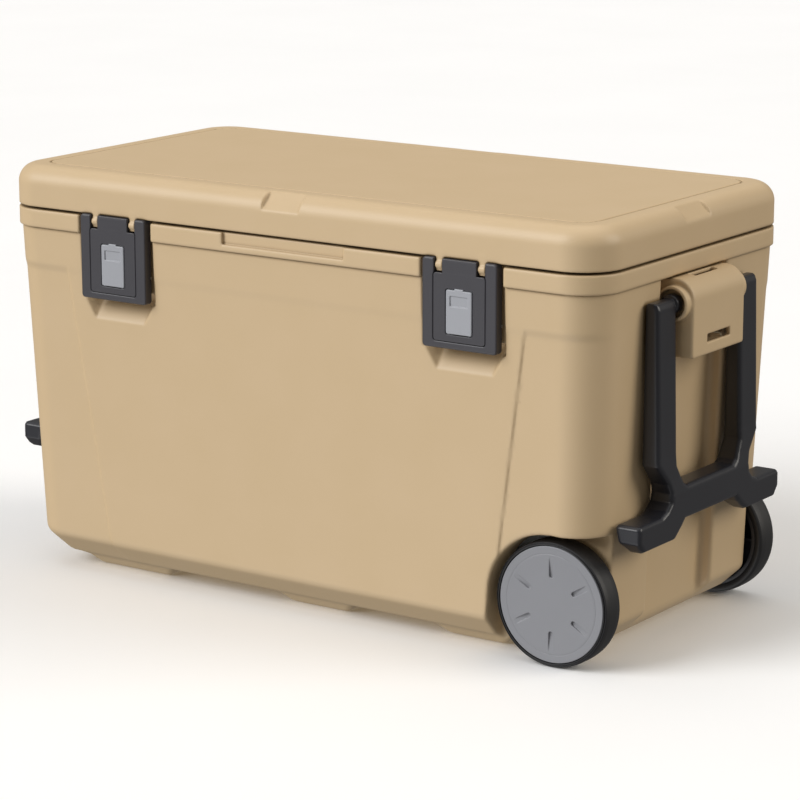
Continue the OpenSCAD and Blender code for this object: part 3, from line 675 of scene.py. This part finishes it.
def button_shape(u, y, z):
    """The button: a cap with a thumb press, a flange behind the plate and room for the claw."""
    front = y + LATCH_FACE + 0.5
    cap = slab(u, z - WINDOW_Z, 14.5, 21.1, 2.0)
    catch = slab(u, z - 358.4, 5.0, 1.4, 0.6)
    cap = cut_soft(np.minimum(cap, catch), np.abs(front - 2) - 2, 1.0)
    press = cut_soft(slab(u, z - 347.5, 10.0, 4.9, 0.8), front - 1.0 - (352.4 - z) * 0.03, 0.5)
    cap = cut_soft(cap, -press, 0.6)
    flange = cut_soft(slab(u, z - WINDOW_Z, 16, 22.7, 1), np.abs(front - 3.5) - 0.6, 0.4)
    claw_room = np.maximum(np.maximum(np.abs(u) - 8.7, z - 330.5), 1.5 - front)
    return cut_soft(join_soft(cap, flange, 0.3), -claw_room, 0.3)


def at_latch(shape, middle):
    """The same shape with its middle moved along the front."""
    return lambda x, y, z: shape(x - middle, y, z)


for side, middle in (("left", -LATCH_X), ("right", LATCH_X)):
    low_x, high_x = middle - 44, middle + 44
    mould("latch_lever_" + side, at_latch(frame_shape, middle),
          (low_x, -190, 299), (high_x, -175, 389), 0.8,
          "latch_" + side, "charcoal_plastic", nylon_charcoal, "latch_frame_" + side)
    mould("latch_cover_" + side, at_latch(plate_shape, middle),
          (low_x + 12, -190, 306), (high_x - 12, -175, 389), 0.6,
          "latch_" + side, "charcoal_plastic", nylon_charcoal, "latch_plate_" + side)
    mould("button_cap_" + side, at_latch(button_shape, middle),
          (middle - 18, -190.5, 312), (middle + 18, -182, 363), 0.5,
          "lock_button_" + side, "gray_plastic", abs_light_gray, "lock_button_" + side)

# %% [markdown]
# ## Wheels
# A wheel is a black hub with ribs, a rubber tyre and a grey cap. The cap has six short grooves that
# run out in a ramp, and a fine ring near its edge. The tyre is a solid of revolution, so one
# profile is turned about the axle.

# %% Wheel parts
CAP_R, TYRE_OUT, TYRE_IN = 57.2, 166.0, 139.0


def turned(name, profile, side, body, slot, finish, *stands_for, turns=96):
    """Turns a closed profile of (radius, distance from the middle) about the axle."""
    points, faces = [], []
    count = len(profile)
    for n in range(turns):
        a = 2 * math.pi * n / turns
        for r, y in profile:
            points.append((WHEEL_X + r * math.cos(a), side * y, WHEEL_Z + r * math.sin(a)))
    for n in range(turns):
        for k in range(count):
            a, b = n * count + k, n * count + (k + 1) % count
            c, d = (n + 1) % turns * count + (k + 1) % count, (n + 1) % turns * count + k
            faces.append((a, b, c, d) if side < 0 else (a, d, c, b))
    return new_piece(name, points, faces, body, slot, finish, *stands_for)


def rolled(corners, r, steps=4):
    """The same profile with every corner rounded to about the given radius."""
    out = []
    count = len(corners)
    for n in range(count):
        here, before, after = (np.array(corners[m % count], float) for m in (n, n - 1, n + 1))
        a, b = before - here, after - here
        reach = min(r, np.linalg.norm(a) * 0.45, np.linalg.norm(b) * 0.45)
        start, end = here + a / np.linalg.norm(a) * reach, here + b / np.linalg.norm(b) * reach
        for s in range(steps + 1):
            t = s / steps
            out.append(tuple((1 - t) ** 2 * start + 2 * t * (1 - t) * here + t * t * end))
    return out


TYRE = [(53, TYRE_IN + 1.5), (57, TYRE_IN), (59.5, TYRE_IN), (61.4, TYRE_IN + 2.5), (62, 148), (62, 160),
        (61.3, TYRE_OUT - 1.2), (60.5, TYRE_OUT - 0.3), (60.1, TYRE_OUT - 1.2), (59.3, TYRE_OUT - 1.2),
        (59.0, TYRE_OUT), (57.9, TYRE_OUT), (57.9, TYRE_OUT - 3.2), (53, TYRE_OUT - 3.2)]


def cap_shape(side):
    """The grey cap of the wheel on the given side, -1 in front and 1 at the rear."""
    def shape(x, y, z):
        out = side * y
        dx, dz = x - WHEEL_X, z - WHEEL_Z
        r = np.hypot(dx, dz)
        dome = TYRE_OUT - 0.3 - 0.15 * fade((r - 48) / 0.5)
        disc = cut_soft(r - CAP_R, np.abs(out - dome + 1.5) - 1.5, 0.9)
        ring = np.hypot(r - 49.5, out - dome) - 0.32
        disc = cut_soft(disc, -ring, 0.3)
        angle = np.arctan2(dz, dx) - math.pi / 6
        turn = np.round(angle / (math.pi / 3)) * (math.pi / 3) + math.pi / 6
        along = dx * np.cos(turn) + dz * np.sin(turn)
        across = -dx * np.sin(turn) + dz * np.cos(turn)
        groove = slab(along - 36.8, across, 10.3, 2.3, 2.2)
        floor = dome - 2.3 * np.clip((47.0 - along) / 17, 0, 1)
        disc = cut_soft(disc, -np.maximum(groove, floor - out), 0.35)
        lip = np.maximum(np.abs(r - 48.2) - 1.1, np.abs(out - 161) - 2.5)
        return join_soft(disc, lip, 0.3)
    return shape


for name, side in (("front", -1), ("rear", 1)):
    body = "wheel_" + name
    turned("tyre_ring_" + name, rolled(TYRE, 0.9), side, body, "tyre_rubber", tyre_rubber,
           "tyre_" + name)
    ends = (-167.5, -157) if side < 0 else (157, 167.5)
    mould("hub_cap_" + name, cap_shape(side),
          (WHEEL_X - 59, ends[0], WHEEL_Z - 59), (WHEEL_X + 59, ends[1], WHEEL_Z + 59), 0.7,
          body, "cap_gray", abs_mid_gray, "wheel_cap_" + name)

# %% [markdown]
# ## Finishes of the pieces that stay
# The remaining pieces keep the shape of the engineering model: the tub, the lid's inner panel, the
# hinge plates, the pins, screws and springs. They only get their materials.

# %% Finishes
FINISH = {
    "liner_plastic": tub_white, "foam": foam_yellow, "black_plastic": nylon_black,
    "charcoal_plastic": nylon_charcoal, "gray_plastic": abs_light_gray, "cap_gray": abs_mid_gray,
    "tyre_rubber": tyre_rubber, "seal_rubber": seal_rubber, "steel": plated_steel,
    "shell_plastic": shell_tan,
}
slot_of = {row["node"]: row["material_slot"] for row in frame["record"]["subparts"]}
for name, piece in nodes.items():
    piece.data.materials.clear()
    piece.data.materials.append(FINISH[slot_of[name]])
print("finished pieces:", len(nodes))

# %% [markdown]
# ## Floor
# A plain pale floor runs far past the picture's edges. It takes the chest's shadow, but it throws
# none itself, so the weak sun below it still reaches the chest, and it doesn't colour the chest or
# show up in its sheen.

# %% Floor
floor_mesh = bpy.data.meshes.new("floor")
FLOOR_REACH = 40.0
floor_mesh.from_pydata([(FLOOR_REACH * a, FLOOR_REACH * b, 0)
                        for a, b in ((-1, -1), (1, -1), (1, 1), (-1, 1))], [], [(0, 1, 2, 3)])
floor = bpy.data.objects.new("floor", floor_mesh)
scene.collection.objects.link(floor)
floor_paint = moulded_plastic("pale_floor", "#FFFFFF", "#FDFDFD", 0.7, 8.0, 0.01, 400.0)
floor_mesh.materials.append(floor_paint)
floor.visible_diffuse = False
floor.visible_glossy = False
floor.visible_shadow = False
